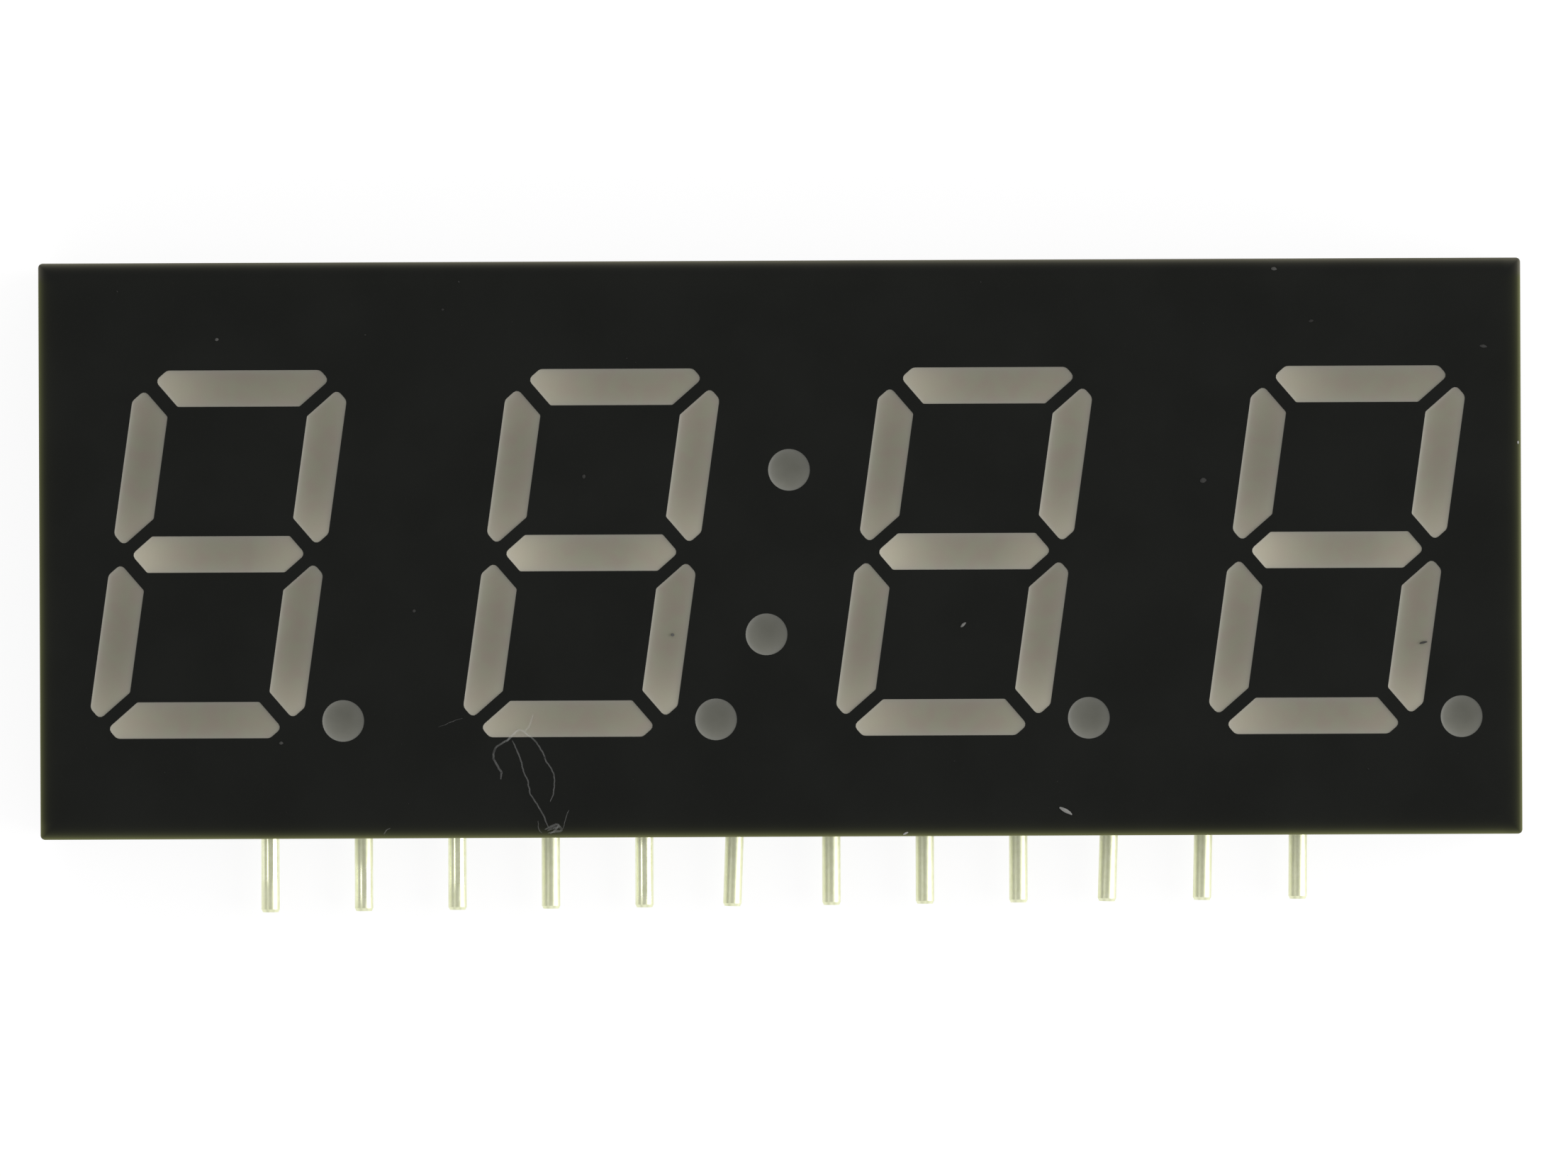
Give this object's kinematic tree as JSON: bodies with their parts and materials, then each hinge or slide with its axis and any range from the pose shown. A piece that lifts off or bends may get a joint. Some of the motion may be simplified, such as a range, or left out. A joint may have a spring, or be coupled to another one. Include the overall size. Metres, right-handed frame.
{
  "type": "four-digit seven-segment display",
  "caption": "Slanted seven-segment LED display with decimal points and a colon in a black reflector housing, and one row of pins along its lower edge.",
  "frame": {"origin": "centre of the front face of the housing", "axes": "+X along the digits from the first to the last, +Y up the digits, +Z out of the face; it lies on its back rim with the face up"},
  "size_m": [0.0398, 0.0175, 0.007],
  "materials": {
    "coated_housing": "moulded white plastic with a matte black coat on the face and sides",
    "cast_resin": "milky grey cast resin, unlit",
    "cast_resin_dots": "milky grey cast resin, unlit",
    "board_laminate": "solder-masked laminate",
    "die": "bare semiconductor",
    "tinned_pin": "tinned, slightly dulled",
    "solder": "smooth solder"
  },
  "bodies": {
    "root": {"housing": "coated_housing", "digit_1_segment_a": "cast_resin", "digit_1_segment_b": "cast_resin", "digit_1_segment_c": "cast_resin", "digit_1_segment_d": "cast_resin", "digit_1_segment_e": "cast_resin", "digit_1_segment_f": "cast_resin", "digit_1_segment_g": "cast_resin", "digit_2_segment_a": "cast_resin", "digit_2_segment_b": "cast_resin", "digit_2_segment_c": "cast_resin", "digit_2_segment_d": "cast_resin", "digit_2_segment_e": "cast_resin", "digit_2_segment_f": "cast_resin", "digit_2_segment_g": "cast_resin", "digit_3_segment_a": "cast_resin", "digit_3_segment_b": "cast_resin", "digit_3_segment_c": "cast_resin", "digit_3_segment_d": "cast_resin", "digit_3_segment_e": "cast_resin", "digit_3_segment_f": "cast_resin", "digit_3_segment_g": "cast_resin", "digit_4_segment_a": "cast_resin", "digit_4_segment_b": "cast_resin", "digit_4_segment_c": "cast_resin", "digit_4_segment_d": "cast_resin", "digit_4_segment_e": "cast_resin", "digit_4_segment_f": "cast_resin", "digit_4_segment_g": "cast_resin", "digit_1_point": "cast_resin_dots", "digit_2_point": "cast_resin_dots", "digit_3_point": "cast_resin_dots", "digit_4_point": "cast_resin_dots", "colon_upper": "cast_resin_dots", "colon_lower": "cast_resin_dots", "circuit_board": "board_laminate", "digit_1_dice": "die", "digit_2_dice": "die", "digit_3_dice": "die", "digit_4_dice": "die", "colon_dice": "die", "pin_1": "tinned_pin", "pin_2": "tinned_pin", "pin_3": "tinned_pin", "pin_4": "tinned_pin", "pin_5": "tinned_pin", "pin_6": "tinned_pin", "pin_7": "tinned_pin", "pin_8": "tinned_pin", "pin_9": "tinned_pin", "pin_10": "tinned_pin", "pin_11": "tinned_pin", "pin_12": "tinned_pin", "solder_joints": "solder"}
  },
  "joints": []
}
